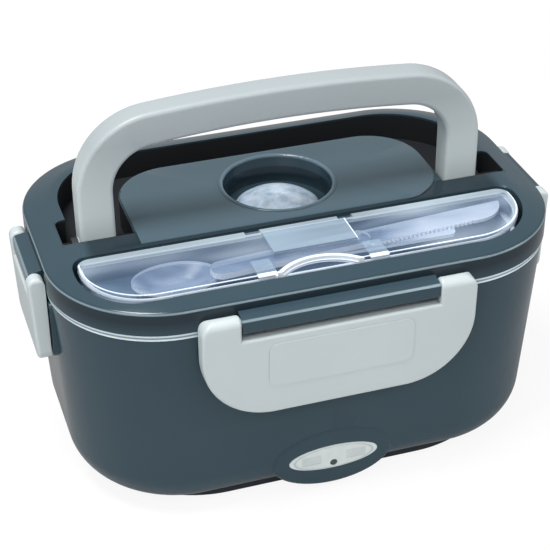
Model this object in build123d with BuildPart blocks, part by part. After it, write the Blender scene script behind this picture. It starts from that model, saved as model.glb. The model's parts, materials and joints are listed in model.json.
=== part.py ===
from build123d import *
import os

# Electric lunch box, millimetres. X runs along the box, -Y is the front with the wide
# latch and the indicator, +Z is up. The origin is on the floor, under the middle.

# ---------------------------------------------------------------- driving dimensions
lid_length = 218.0
lid_width = 140.2
lid_corner = 48.0
lid_height = 14.4
lid_wall = 2.2
shoulder_width = 12.5        # the lid's top falls gently over this width
shoulder_drop = 4.3
shoulder_edge = 1.6          # rounding where the shoulder meets the wall
crown_radius = 18.0          # rounding where the shoulder meets the flat top

rim_height = 93.9            # top edge of the housing above the floor
rim_setback = 0.8            # the housing's rim lies this far inside the lid's outline
base_length = 207.2
base_width = 133.0
base_corner = 49.7
base_lift = 1.8              # lowest edge of the housing above the floor
belly_radius = 20.0          # rounding between the walls and the bottom
housing_wall = 2.4

seal_height = 3.1            # visible band of the seal between lid and housing
seal_setback = 0.5
seal_depth = 8.1             # from the outer edge of the band to the seal's inner edge
seal_skin = 1.45             # thickness of the seal under the liner
slip = 0.05                  # air between flat faces that part when the lid lifts
running_gap = 0.05           # radial air round a turning pin
side_gap = 0.3               # air between pieces that slide or swing past each other

floor_top = 25.0             # floor of the food well
floor_thickness = 2.5
ledge_width = 4.8            # ledge that carries the tray's rim
ledge_depth = 6.6
tray_sheet = 0.8
tray_side_gap = 0.4
tray_lift_gap = 0.3          # air between tray and heating plate
tray_radius = 12.0

plate_length = 136.0         # heating plate
plate_width = 84.0
plate_thickness = 2.0
plate_overlap = 5.0          # how far the plate's rim lies on the floor
heater_length = 62.0
heater_width = 21.0
heater_height = 5.0
heater_spacing = 32.0        # between the two heaters' centre lines
strap_width = 8.0
strap_thickness = 1.2
strap_screw_radius = 1.4
strap_screw_head_radius = 2.8
strap_screw_head = 1.6

cover_length = 188.6         # bottom cover
cover_width = 113.8
cover_corner = 50.5
cover_lift = 0.6
cover_seat = 5.6             # the cover's rim meets the housing here
cover_plate = 2.2
cover_rim = 3.0
cover_gap = 0.2
foot_spacing_x = 132.0
foot_spacing_y = 74.0
foot_radius = 7.0
foot_recess = 1.2
screw_spacing_x = 164.0
screw_spacing_y = 32.0
screw_radius = 1.5
screw_head_radius = 3.0
screw_head = 1.8
screw_length = 12.0
screw_post_radius = 4.2
slot_length = 22.0
slot_width = 2.4
slot_pitch = 6.0

boss_height = 17.9           # centre of the indicator and of the inlets
boss_face = 68.5             # distance of the inlets' face from the middle
indicator_face = 67.9        # distance of the indicator's face from the middle
boss_depth = 26.0
boss_half_length = 27.5
boss_half_height = 15.2
boss_edge = 2.6
inlet_boss_half_length = 34.0
inlet_boss_half_height = 13.0
indicator_half_length = 20.0
indicator_half_height = 6.1
indicator_thickness = 1.8
indicator_proud = 0.3
lens_radius = 1.6
lens_drop = 3.1              # the lens sits this far under the plate's middle
board_length = 34.0
board_height = 9.0
board_thickness = 1.6
board_setback = 9.4

ac_x = -13.0
ac_length = 24.0
ac_height = 11.6
ac_depth = 18.0
ac_wall = 1.6
ac_socket_depth = 12.0
ac_pin_radius = 1.2
ac_pin_spacing = 8.7
ac_pin_length = 9.5
dc_x = 17.0
dc_radius = 6.4
dc_bore = 3.4
dc_depth = 16.0
dc_socket_depth = 10.0
dc_pin_radius = 1.05
inlet_drop = 1.9             # the inlets sit this far under the boss's middle

flap_half_length = 30.0      # cover over the inlets
flap_half_height = 11.2
flap_thickness = 2.0
flap_axis_height = 32.4
flap_axis_out = 2.3          # hinge axis beyond the boss's face
flap_knuckle_radius = 2.1
flap_knuckle_length = 15.0
flap_ear_length = 3.5
flap_pin_radius = 1.0

bar_drop = 8.0               # top of the hinge bars under the lid's top
bar_height = 7.8
bar_reach = 6.4
bar_bevel = 0.8              # the bars' outer edges are cut back by this much
bar_fall = 1.2               # the bars' top falls by this much towards the outside
bar_undercut = 1.7           # clear of the sealing ring's upper face
bar_half_front = 41.7
bar_half_side = 16.3
latch_axis_drop = 11.6       # hinge axis under the lid's top
latch_axis_out = 3.7         # hinge axis beyond the lid's wall
arm_radius = 3.5
arm_corner_front = 6.0
arm_corner_side = 2.0
stud_radius = 1.8
stud_length = 2.6
stud_well = 3.2
latch_half_front = 58.2
latch_half_side = 23.2
latch_bottom_front = 54.4
latch_bottom_side = 63.0
latch_corner_front = 30.0
latch_corner_side = 4.5
latch_lean = 1.4             # the flap's face leans in by this much at its lower edge
latch_notch_drop = 2.8       # gap under the hinge bar
latch_skirt = 2.0
latch_skin = 2.4
latch_edge = 1.5
emboss_rise = 0.3            # faint raised field on the long latches
emboss_half = 31.0
emboss_bottom = 67.8
emboss_top = 89.0
emboss_corner = 4.0
hook_height = 3.6
hook_drop = 14.0             # underside of the catch below the lid's lower edge
catch_height = 3.0
catch_reach = 2.3            # the catch stands out this far beyond the lid's wall
catch_half_front = 30.0
catch_half_side = 11.0
catch_air = 0.5
pad_setback = 0.3            # the pads behind the latches stop this far inside the lid's wall
pad_bottom_front = 62.0
pad_bottom_side = 65.0
pad_half_front = 48.0
pad_half_side = 26.5
pad_corner = 5.0
pad_drop = 2.0               # the pads' top edge under the housing's rim

pivot_y = -6.4               # handle's hinge axis
handle_depth = 12.5
handle_half_length = 88.2
handle_shift = -3.0          # the handle stands this far off the middle, in the play of its pins
handle_rise = 61.8           # hinge axis to the top of the grip
handle_crown = 6.0           # the grip is this much lower at its ends
handle_section = 15.0        # breadth of the legs
grip_section = 14.2          # height of the grip
handle_corner = 34.0
handle_edge = 2.0
groove_half_outer = 94.0     # groove that the folded handle lies in
groove_half_inner = 68.8
groove_back = 57.5
groove_front = -13.1
groove_corner = 38.0
groove_inner_corner = 24.0
groove_inner_back = 37.4
groove_front_corner = 1.5
groove_floor_gap = 0.6
groove_skin = 1.1
pocket_half_outer = 98.6     # wider part of the groove beside each pivot
pocket_back = 7.0
pocket_corner = 2.5
pin_radius = 2.5
pin_seat = 2.6               # length of pin in each side of its bearing
pivot_block = 5.5
leg_boss_radius = 4.3
leg_boss_length = 3.0

panel_rise = 0.9             # raised panel round the steam vent
panel_front = -24.0          # the bay's rim cuts the panel off in front
panel_front_corner = 24.0
panel_gap = 0.4
vent_y = 7.8
vent_radius = 23.7
vent_floor_drop = 12.0
vent_edge = 1.2
vent_lip_width = 2.3         # raised lip round the vent's well
vent_lip_rise = 0.5          # above the panel
vent_lip_edge = 0.4
vent_hole_radius = 4.4
plug_radius = 18.4
plug_flange = 1.4
plug_dome = 6.6
plug_stem_radius = 3.9
plug_stem_length = 4.0

case_half_length = 94.5      # cutlery case
case_shift = -2.2            # the case and its bay lie this far off the middle
case_back = -25.9
case_front = -60.8
case_height = 12.6
case_proud = -0.2            # top of the case above the lid's top
case_front_corner = 27.0
case_back_corner = 5.5
case_skin = 1.5
case_lid_height = 2.6
case_side_gap = 1.5
case_end_gap = 2.0
rim_bevel_width = 2.1        # the panel falls to the bay's rim over this width
rim_bevel_drop = 0.4         # foot of that slope under the lid's top
case_axis_in = 1.6           # hinge axis in from the back edge and down from the top
case_axis_down = 1.4
case_knuckle_radius = 1.2
case_knuckle_half = 17.0
case_pin_radius = 0.6        # stub pins moulded on the case's two ears
case_pin_length = 5.0
case_ear_length = 6.0
case_back_relief = 1.3
case_bottom_edge = 1.2
case_lid_edge = 0.9
base_inset = 0.6             # the case's lid overhangs it by this much
thumb_x = -3.9               # scoop for a thumb in the lid's front edge
thumb_half = 16.2
thumb_depth = 6.6
thumb_floor = 1.0
clip_x = -2.6                # middle between the two clips
clip_offset = 23.7
clip_width = 8.0
clip_length = 11.0
clip_drop = 3.0
clip_thickness = 0.9
clip_rise = 0.5
grip_x = -1.1
grip_length = 36.3
grip_width = 16.5
grip_height = 0.9
grip_y = -38.5

cutlery_sheet = 1.4
spoon_bowl_length = 36.0
spoon_bowl_width = 23.0
spoon_depth = 5.6
spoon_x = -59.5
spoon_y = -42.5
spoon_length = 139.0
spoon_turn = -0.5            # degrees that the spoon lies askew in the case
spoon_floor_length = 0.55    # the bowl's floor as a share of its rim
spoon_floor_width = 0.54
spoon_stem_width = 7.2
spoon_stem_corner = 3.15
knife_length = 134.0
knife_width = 11.5
knife_blade = 66.0
knife_point = 14.0           # length of the rounded point
knife_heel = 2.0
knife_grip_width = 10.0
knife_grip_thickness = 2.6
knife_x = 21.4
knife_y = -40.6
knife_turn = 4.5             # degrees that the knife lies askew
tooth_pitch = 2.0
tooth_depth = 1.0
tooth_start = 6.0            # first tooth from the blade's heel
tooth_count = 22

lead_radius = 0.9
lead_side = 12.0             # how far the leads keep from the heaters' ends
lead_spread = 3.0
lead_exit = 5.0              # straight stretch where a lead leaves its inlet or board

# ---------------------------------------------------------------- derived heights
lid_base = rim_height + seal_height
lid_top = lid_base + lid_height
floor_under = floor_top - floor_thickness
ledge_top = rim_height - tray_sheet - 0.5
tray_bottom = floor_top + plate_thickness + tray_lift_gap
liner_bottom = rim_height + slip + seal_skin
pivot_z = lid_top - handle_depth / 2
groove_floor = pivot_z - handle_depth / 2 - groove_floor_gap
latch_axis = lid_top - latch_axis_drop
bar_top = lid_top - bar_drop
bar_bottom = bar_top - bar_height
catch_bottom = lid_base - hook_drop
vent_floor = lid_top - vent_floor_drop
case_top = lid_top + case_proud
case_floor = case_top - case_height
inlet_height = boss_height - inlet_drop

os.makedirs("parts", exist_ok=True)


def save(piece, name):
    piece.label = name
    export_step(piece, f"parts/{name}.step")
    print(name, round(piece.volume / 1000, 2), "cm3")


def lid_outline(inset):
    """Plan of the lid, drawn inset from its outer wall."""
    with BuildSketch(mode=Mode.PRIVATE) as outline:
        RectangleRounded(lid_length - 2 * inset, lid_width - 2 * inset, lid_corner - inset)
    return outline.sketch


def housing_outline(height, inset):
    """Plan of the tapered housing at a height, drawn inset from its outer wall."""
    rise = (height - base_lift) / (rim_height - base_lift)
    rim_length = lid_length - 2 * rim_setback
    rim_width = lid_width - 2 * rim_setback
    length = base_length + rise * (rim_length - base_length) - 2 * inset
    width = base_width + rise * (rim_width - base_width) - 2 * inset
    corner = base_corner + rise * (lid_corner - rim_setback - base_corner) - inset
    with BuildSketch(mode=Mode.PRIVATE) as outline:
        RectangleRounded(length, width, corner)
    return outline.sketch


def case_outline(inset, end_gap=0.0):
    """Plan of the cutlery case: a straight back and a front with round corners."""
    with BuildSketch(mode=Mode.PRIVATE) as outline:
        with Locations((case_shift, (case_front + case_back) / 2)):
            Rectangle(2 * (case_half_length + end_gap - inset), case_back - case_front - 2 * inset)
        fillet(outline.vertices().group_by(Axis.Y)[0], case_front_corner - inset)
        fillet(outline.vertices().group_by(Axis.Y)[-1], max(case_back_corner - inset, 0.5))
    return outline.sketch


def bay_outline(margin):
    """Plan of the bay that holds the cutlery case."""
    return case_outline(-case_side_gap - margin, case_end_gap - case_side_gap)


def box_outline(half, front, back, front_corner, back_corner):
    """Rectangle from front to back with its own corner radius at each end."""
    with BuildSketch(mode=Mode.PRIVATE) as outline:
        with Locations((0, (front + back) / 2)):
            Rectangle(2 * half, back - front)
        fillet(outline.vertices().group_by(Axis.Y)[0], front_corner)
        fillet(outline.vertices().group_by(Axis.Y)[-1], back_corner)
    return outline.sketch


def groove_outline(margin):
    """Plan of the handle's groove: down both sides of the panel and round behind it."""
    with BuildSketch(mode=Mode.PRIVATE) as outline:
        add(box_outline(groove_half_outer + margin, groove_front - margin, groove_back + margin,
                        groove_front_corner, groove_corner + margin))
        with Locations((0, (groove_front + pocket_back) / 2)):
            RectangleRounded(2 * (pocket_half_outer + margin), pocket_back - groove_front + 2 * margin,
                             pocket_corner + margin)
        inner_front = 2 * groove_front
        add(box_outline(groove_half_inner - margin, inner_front, groove_inner_back - margin,
                        groove_front_corner, groove_inner_corner - margin), mode=Mode.SUBTRACT)
    return outline.sketch


def side_plane(outward, distance):
    """Plane across one side of the box: its x runs outwards and its y runs up."""
    return Plane(origin=outward * distance, x_dir=outward, z_dir=outward.cross(Vector(0, 0, 1)))


def face_plane(outward, distance):
    """Plane that looks along outward at a distance from the middle, with its y up."""
    return Plane(origin=outward * distance, x_dir=Vector(0, 0, 1).cross(outward), z_dir=outward)


front, back = Vector(0, -1, 0), Vector(0, 1, 0)
left, right = Vector(-1, 0, 0), Vector(1, 0, 0)
long_side = (lid_width / 2, bar_half_front, catch_half_front, pad_half_front, pad_bottom_front)
short_side = (lid_length / 2, bar_half_side, catch_half_side, pad_half_side, pad_bottom_side)
sides = [(front, *long_side), (back, *long_side), (left, *short_side), (right, *short_side)]

# ---------------------------------------------------------------- outer housing
with BuildPart() as heater_chamber:
    chamber_bottom = base_lift + housing_wall
    with BuildSketch(Plane.XY.offset(chamber_bottom)):
        add(housing_outline(chamber_bottom, housing_wall))
    with BuildSketch(Plane.XY.offset(floor_under)):
        add(housing_outline(floor_under, housing_wall))
    loft()
    fillet(heater_chamber.faces().sort_by(Axis.Z)[0].edges(), belly_radius - housing_wall)

with BuildPart() as indicator_boss:
    with BuildSketch(face_plane(front, indicator_face)):
        with Locations((0, boss_height)):
            Ellipse(boss_half_length, boss_half_height)
    extrude(amount=-boss_depth)
    fillet(indicator_boss.faces().sort_by(Axis.Y)[0].edges(), boss_edge)

with BuildPart() as inlet_boss:
    with BuildSketch(face_plane(back, boss_face)):
        with Locations((0, boss_height)):
            Ellipse(inlet_boss_half_length, inlet_boss_half_height)
    extrude(amount=-boss_depth)
    fillet(inlet_boss.faces().sort_by(Axis.Y)[-1].edges(), boss_edge)

with BuildPart() as outer_housing:
    with BuildSketch(Plane.XY.offset(base_lift)):
        add(housing_outline(base_lift, 0))
    with BuildSketch(Plane.XY.offset(rim_height)):
        add(housing_outline(rim_height, 0))
    loft()
    fillet(outer_housing.faces().sort_by(Axis.Z)[0].edges(), belly_radius)
    # bosses for the indicator in front and the inlets behind
    add(indicator_boss.part)
    add(inlet_boss.part)
    # pads and catches behind the latches
    for outward, reach, bar_half, catch_half, pad_half, pad_bottom in sides:
        pad_top = rim_height - pad_drop
        with BuildSketch(face_plane(outward, reach - pad_setback)) as pad:
            with Locations((0, (pad_top + pad_bottom) / 2)):
                Rectangle(2 * pad_half, pad_top - pad_bottom)
            fillet(pad.vertices().group_by(Axis.Z)[0], pad_corner)
        extrude(amount=-8.0)
        with BuildSketch(side_plane(outward, reach)):
            with Locations((catch_reach / 2 - 1, catch_bottom + catch_height / 2)):
                Rectangle(catch_reach + 2, catch_height)
        extrude(amount=catch_half, both=True)
    # ears of the inlet cover's hinge
    with BuildSketch(side_plane(back, boss_face)):
        with Locations((flap_axis_out, flap_axis_height)):
            Circle(flap_knuckle_radius)
        with Locations(((flap_axis_out - 4) / 2, flap_axis_height)):
            Rectangle(flap_axis_out + 4, 2 * flap_knuckle_radius)
    ear_outer = flap_knuckle_length / 2 + side_gap + flap_ear_length
    extrude(amount=ear_outer, both=True)
    with BuildSketch(side_plane(back, boss_face)):
        relief = flap_knuckle_radius + side_gap
        with Locations((flap_axis_out + relief, flap_axis_height)):
            Rectangle(4 * relief, 2 * relief)
    extrude(amount=flap_knuckle_length / 2 + side_gap, both=True, mode=Mode.SUBTRACT)
    with BuildSketch(side_plane(back, boss_face)):
        with Locations((flap_axis_out, flap_axis_height)):
            Circle(flap_pin_radius + running_gap)
    extrude(amount=ear_outer - 1, both=True, mode=Mode.SUBTRACT)
    # food well, and the ledge that carries the tray
    with BuildSketch(Plane.XY.offset(floor_top)):
        add(housing_outline(floor_top, housing_wall))
    with BuildSketch(Plane.XY.offset(rim_height)):
        add(housing_outline(rim_height, housing_wall))
    loft(mode=Mode.SUBTRACT)
    with BuildSketch(Plane.XY.offset(ledge_top)):
        add(housing_outline(ledge_top, housing_wall / 2))
        add(housing_outline(ledge_top, housing_wall + ledge_width), mode=Mode.SUBTRACT)
    extrude(amount=-ledge_depth)
    # chamber for the heaters, posts for the screws, opening under the heating plate
    add(heater_chamber.part, mode=Mode.SUBTRACT)
    with BuildSketch(Plane.XY.offset(cover_seat + side_gap)):
        with GridLocations(screw_spacing_x, screw_spacing_y, 2, 2):
            Circle(screw_post_radius)
    extrude(until=Until.NEXT)
    with BuildSketch(Plane.XY.offset(cover_seat + side_gap)):
        with GridLocations(screw_spacing_x, screw_spacing_y, 2, 2):
            Circle(screw_radius)
    extrude(amount=screw_length, mode=Mode.SUBTRACT)
    with BuildSketch(Plane.XY):
        RectangleRounded(cover_length + 2 * cover_gap, cover_width + 2 * cover_gap, cover_corner)
    extrude(amount=cover_seat, mode=Mode.SUBTRACT)
    with BuildSketch(Plane.XY.offset(floor_under)):
        opening_width = plate_width - 2 * plate_overlap
        RectangleRounded(plate_length - 2 * plate_overlap, opening_width, opening_width * 0.3)
    extrude(amount=floor_thickness, mode=Mode.SUBTRACT)
    # seats of the indicator plate, its lens, and the inlets
    with BuildSketch(face_plane(front, indicator_face)):
        with Locations((0, boss_height)):
            Ellipse(indicator_half_length + 0.1, indicator_half_height + 0.1)
    extrude(amount=-(indicator_thickness - indicator_proud), mode=Mode.SUBTRACT)
    with BuildSketch(face_plane(front, indicator_face)):
        with Locations((0, boss_height - lens_drop)):
            Circle(lens_radius + 0.1)
    extrude(amount=-boss_depth / 2, mode=Mode.SUBTRACT)
    with BuildSketch(face_plane(back, boss_face)):
        with Locations((-ac_x, inlet_height)):
            SlotOverall(ac_length + 0.2, ac_height + 0.2)
        with Locations((-dc_x, inlet_height)):
            Circle(dc_radius + 0.1)
    extrude(amount=-boss_depth, mode=Mode.SUBTRACT)
save(outer_housing.part, "outer_housing")

# ---------------------------------------------------------------- bottom cover
with BuildPart() as bottom_cover:
    with BuildSketch(Plane.XY.offset(cover_lift)):
        RectangleRounded(cover_length, cover_width, cover_corner)
    extrude(amount=cover_seat - cover_lift)
    fillet(bottom_cover.faces().sort_by(Axis.Z)[0].edges(), 1.0)
    with BuildSketch(Plane.XY.offset(cover_lift + cover_plate)):
        RectangleRounded(cover_length - 2 * cover_rim, cover_width - 2 * cover_rim,
                         cover_corner - cover_rim)
    extrude(amount=cover_seat, mode=Mode.SUBTRACT)
    with BuildSketch(Plane.XY.offset(cover_lift)):
        with GridLocations(screw_spacing_x, screw_spacing_y, 2, 2):
            Circle(screw_head_radius + 2)
    extrude(amount=cover_seat - cover_lift)
    with BuildSketch(Plane.XY):
        with GridLocations(screw_spacing_x, screw_spacing_y, 2, 2):
            Circle(screw_radius + 0.2)
    extrude(amount=cover_seat, mode=Mode.SUBTRACT)
    with BuildSketch(Plane.XY):
        with GridLocations(screw_spacing_x, screw_spacing_y, 2, 2):
            Circle(screw_head_radius + 0.3)
    extrude(amount=cover_lift + screw_head + 0.3, mode=Mode.SUBTRACT)
    with BuildSketch(Plane.XY):
        with GridLocations(foot_spacing_x, foot_spacing_y, 2, 2):
            Circle(foot_radius + 0.1)
    extrude(amount=cover_lift + foot_recess, mode=Mode.SUBTRACT)
    with BuildSketch(Plane.XY):
        with GridLocations(slot_length * 2, slot_pitch, 2, 5):
            SlotOverall(slot_length, slot_width)
    extrude(amount=cover_seat, mode=Mode.SUBTRACT)
save(bottom_cover.part, "bottom_cover")

with BuildPart() as rubber_feet:
    with BuildSketch():
        with GridLocations(foot_spacing_x, foot_spacing_y, 2, 2):
            Circle(foot_radius)
    extrude(amount=cover_lift + foot_recess)
    chamfer(rubber_feet.faces().group_by(Axis.Z)[0].edges(), 0.4)
save(rubber_feet.part, "rubber_feet")

with BuildPart() as cover_screws:
    head_bottom = cover_lift + 0.3
    with BuildSketch(Plane.XY.offset(head_bottom)):
        with GridLocations(screw_spacing_x, screw_spacing_y, 2, 2):
            Circle(screw_head_radius)
    extrude(amount=screw_head)
    with BuildSketch(Plane.XY.offset(head_bottom)):
        with GridLocations(screw_spacing_x, screw_spacing_y, 2, 2):
            Rectangle(screw_head_radius, 0.8)
            Rectangle(0.8, screw_head_radius)
    extrude(amount=screw_head / 2, mode=Mode.SUBTRACT)
    with BuildSketch(Plane.XY.offset(head_bottom + screw_head)):
        with GridLocations(screw_spacing_x, screw_spacing_y, 2, 2):
            Circle(screw_radius - 0.05)
    extrude(amount=screw_length)
save(cover_screws.part, "cover_screws")

# ---------------------------------------------------------------- heating
with BuildPart() as heating_plate:
    with BuildSketch(Plane.XY.offset(floor_top)):
        RectangleRounded(plate_length, plate_width, plate_width * 0.3)
    extrude(amount=plate_thickness)
    fillet(heating_plate.faces().sort_by(Axis.Z)[-1].edges(), 0.8)
    with BuildSketch(Plane.XY.offset(floor_top)):
        RectangleRounded(plate_length - 2 * plate_overlap - 1, opening_width - 1,
                         opening_width * 0.3 - 0.5)
    extrude(amount=-floor_thickness)
save(heating_plate.part, "heating_plate")

heater_under = floor_under - heater_height
for name, offset_y in (("ptc_heater_ac", heater_spacing / 2), ("ptc_heater_dc", -heater_spacing / 2)):
    with BuildPart() as heater:
        with BuildSketch(Plane.XY.offset(heater_under)):
            with Locations((0, offset_y)):
                RectangleRounded(heater_length, heater_width, 1.5)
        extrude(amount=heater_height)
    save(heater.part, name)

strap_length = heater_spacing + heater_width + 2 * strap_width
strap_screw_y = (strap_length - strap_width) / 2
strap_x = heater_length / 4
with BuildPart() as heater_straps:
    with BuildSketch(Plane.XY.offset(heater_under - strap_thickness)):
        with GridLocations(2 * strap_x, 0, 2, 1):
            Rectangle(strap_width, strap_length)
    extrude(amount=strap_thickness)
    with BuildSketch(Plane.XY.offset(heater_under)):
        with GridLocations(2 * strap_x, 2 * strap_screw_y, 2, 2):
            Circle(strap_width / 2 - side_gap)
    extrude(amount=heater_height)
    with BuildSketch(Plane.XY.offset(heater_under - strap_thickness)):
        with GridLocations(2 * strap_x, 2 * strap_screw_y, 2, 2):
            Circle(strap_screw_radius)
    extrude(amount=heater_height + strap_thickness, mode=Mode.SUBTRACT)
save(heater_straps.part, "heater_straps")

with BuildPart() as strap_screws:
    with BuildSketch(Plane.XY.offset(heater_under - strap_thickness)):
        with GridLocations(2 * strap_x, 2 * strap_screw_y, 2, 2):
            Circle(strap_screw_radius - 0.05)
    extrude(amount=strap_thickness + heater_height - 0.2)
    with BuildSketch(Plane.XY.offset(heater_under - strap_thickness)):
        with GridLocations(2 * strap_x, 2 * strap_screw_y, 2, 2):
            Circle(strap_screw_head_radius)
    extrude(amount=-strap_screw_head)
save(strap_screws.part, "strap_screws")

cutoff_radius = 2.4
cutoff_length = 12.0
with BuildPart() as thermal_cutoff:
    with BuildSketch(Plane.YZ):
        with Locations((0, floor_under - cutoff_radius - 0.1)):
            Circle(cutoff_radius)
    extrude(amount=cutoff_length / 2, both=True)
save(thermal_cutoff.part, "thermal_cutoff")

# ---------------------------------------------------------------- indicator
with BuildPart() as indicator_plate:
    with BuildSketch(face_plane(front, indicator_face + indicator_proud)):
        with Locations((0, boss_height)):
            Ellipse(indicator_half_length, indicator_half_height)
    extrude(amount=-indicator_thickness)
    fillet(indicator_plate.faces().sort_by(Axis.Y)[0].edges(), 0.6)
    with BuildSketch(face_plane(front, indicator_face + indicator_proud)):
        with Locations((0, boss_height - lens_drop)):
            Circle(lens_radius + 0.05)
    extrude(amount=-indicator_thickness, mode=Mode.SUBTRACT)
save(indicator_plate.part, "indicator_plate")

board_face = indicator_face - board_setback
with BuildPart() as indicator_lens:
    with BuildSketch(face_plane(front, indicator_face + indicator_proud)):
        with Locations((0, boss_height - lens_drop)):
            Circle(lens_radius)
    extrude(amount=-(indicator_face + indicator_proud - board_face))
    fillet(indicator_lens.faces().sort_by(Axis.Y)[0].edges(), 0.5)
save(indicator_lens.part, "indicator_lens")

with BuildPart() as indicator_board:
    with BuildSketch(face_plane(front, board_face)):
        with Locations((0, boss_height - lens_drop)):
            Rectangle(board_length, board_height)
    extrude(amount=-board_thickness)
save(indicator_board.part, "indicator_board")

# ---------------------------------------------------------------- inlets
with BuildPart() as ac_inlet:
    with BuildSketch(face_plane(back, boss_face - 0.2)):
        with Locations((-ac_x, inlet_height)):
            SlotOverall(ac_length, ac_height)
    extrude(amount=-ac_depth)
    with BuildSketch(face_plane(back, boss_face - 0.2)):
        with Locations((-ac_x, inlet_height)):
            SlotOverall(ac_length - 2 * ac_wall - 3, ac_height - 2 * ac_wall)
    extrude(amount=-ac_socket_depth, mode=Mode.SUBTRACT)
save(ac_inlet.part, "ac_inlet")

with BuildPart() as ac_pins:
    with BuildSketch(face_plane(back, boss_face - 0.2 - ac_socket_depth)):
        with Locations((-ac_x, inlet_height)):
            with GridLocations(ac_pin_spacing, 0, 2, 1):
                Circle(ac_pin_radius)
    extrude(amount=ac_pin_length)
    fillet(ac_pins.faces().group_by(Axis.Y)[-1].edges(), 0.6)
save(ac_pins.part, "ac_pins")

with BuildPart() as dc_inlet:
    with BuildSketch(face_plane(back, boss_face - 0.2)):
        with Locations((-dc_x, inlet_height)):
            Circle(dc_radius)
    extrude(amount=-dc_depth)
    with BuildSketch(face_plane(back, boss_face - 0.2)):
        with Locations((-dc_x, inlet_height)):
            Circle(dc_bore)
    extrude(amount=-dc_socket_depth, mode=Mode.SUBTRACT)
save(dc_inlet.part, "dc_inlet")

with BuildPart() as dc_pin:
    with BuildSketch(face_plane(back, boss_face - 0.2 - dc_socket_depth)):
        with Locations((-dc_x, inlet_height)):
            Circle(dc_pin_radius)
    extrude(amount=dc_socket_depth - 1)
    fillet(dc_pin.faces().sort_by(Axis.Y)[-1].edges(), 0.5)
save(dc_pin.part, "dc_pin")

flap_face = boss_face + side_gap
with BuildPart() as inlet_cover:
    with BuildSketch(face_plane(back, flap_face)):
        with Locations((0, boss_height)):
            Ellipse(flap_half_length, flap_half_height)
    extrude(amount=flap_thickness)
    fillet(inlet_cover.faces().sort_by(Axis.Y)[-1].edges(), 0.8)
    tongue_bottom = boss_height + flap_half_height - 3
    with BuildSketch(face_plane(back, flap_face)):
        with Locations((0, (tongue_bottom + flap_axis_height) / 2)):
            Rectangle(flap_knuckle_length, flap_axis_height - tongue_bottom)
    extrude(amount=flap_thickness)
    with BuildSketch(side_plane(back, boss_face)):
        with Locations((flap_axis_out, flap_axis_height)):
            Circle(flap_knuckle_radius)
    extrude(amount=flap_knuckle_length / 2, both=True)
    with BuildSketch(side_plane(back, boss_face)):
        with Locations((flap_axis_out, flap_axis_height)):
            Circle(flap_pin_radius)
    extrude(amount=flap_knuckle_length / 2, both=True, mode=Mode.SUBTRACT)
    with BuildSketch(face_plane(back, flap_face + flap_thickness)):
        with Locations((0, boss_height - flap_half_height + 3.2)):
            SlotOverall(18, 2.4)
    extrude(amount=1.0)
save(inlet_cover.part, "inlet_cover")

with BuildPart() as inlet_cover_pin:
    with BuildSketch(side_plane(back, boss_face)):
        with Locations((flap_axis_out, flap_axis_height)):
            Circle(flap_pin_radius)
    extrude(amount=ear_outer - 1.3, both=True)
save(inlet_cover_pin.part, "inlet_cover_pin")

# ---------------------------------------------------------------- leads under the floor
lead_level = heater_under + lead_radius + 0.2


def lead(name, points, bends):
    with BuildPart() as wire:
        with BuildLine():
            FilletPolyline(*points, radius=bends)
        with BuildSketch(Plane(origin=points[0], z_dir=Vector(points[1]) - Vector(points[0]))):
            Circle(lead_radius)
        sweep()
    save(wire.part, name)


ac_back = boss_face - 0.2 - ac_depth
dc_back = boss_face - 0.2 - dc_depth
heater_end = heater_length / 2
live_x = ac_x - ac_pin_spacing / 2
neutral_x = ac_x + ac_pin_spacing / 2
live_y = heater_spacing / 2 + lead_spread
left_turn = -heater_end - lead_side
right_turn = heater_end + lead_side
lead("lead_ac_live", [(live_x, ac_back, inlet_height), (live_x, ac_back - 2 * lead_exit, inlet_height),
                      (left_turn, ac_back - 2 * lead_exit - lead_spread, lead_level),
                      (left_turn, live_y, lead_level), (-heater_end, live_y, lead_level)], 3.5)
neutral_z = inlet_height - 2
neutral_y = heater_spacing / 2
lead("lead_ac_neutral", [(neutral_x, ac_back, neutral_z), (neutral_x, ac_back - lead_exit, neutral_z),
                         (right_turn, ac_back - 2 * lead_exit, lead_level),
                         (right_turn, neutral_y, lead_level), (heater_end, neutral_y, lead_level)], 2.5)
far_turn = right_turn + 8
lead("lead_dc", [(dc_x, dc_back, neutral_z), (dc_x, dc_back - lead_exit, neutral_z),
                 (far_turn, dc_back - lead_exit - lead_spread, lead_level - 4),
                 (far_turn, -neutral_y, lead_level), (heater_end, -neutral_y, lead_level)], 1.5)
board_back = -(board_face - board_thickness)
board_x = -12.0
board_z = boss_height - lens_drop
near_turn = left_turn + 4
lead("lead_indicator", [(board_x, board_back, board_z), (board_x, board_back + 2 * lead_exit, board_z),
                        (near_turn, board_back + 18, lead_level),
                        (near_turn, -neutral_y, lead_level), (-heater_end, -neutral_y, lead_level)], 3.5)

# ---------------------------------------------------------------- food tray
with BuildPart() as tray_hollow:
    hollow_inset = housing_wall + ledge_width + tray_side_gap + tray_sheet
    with BuildSketch(Plane.XY.offset(tray_bottom + tray_sheet)):
        add(housing_outline(tray_bottom, hollow_inset))
    with BuildSketch(Plane.XY.offset(rim_height)):
        add(housing_outline(rim_height, hollow_inset))
    loft()
    fillet(tray_hollow.faces().sort_by(Axis.Z)[0].edges(), tray_radius - tray_sheet)

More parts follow.
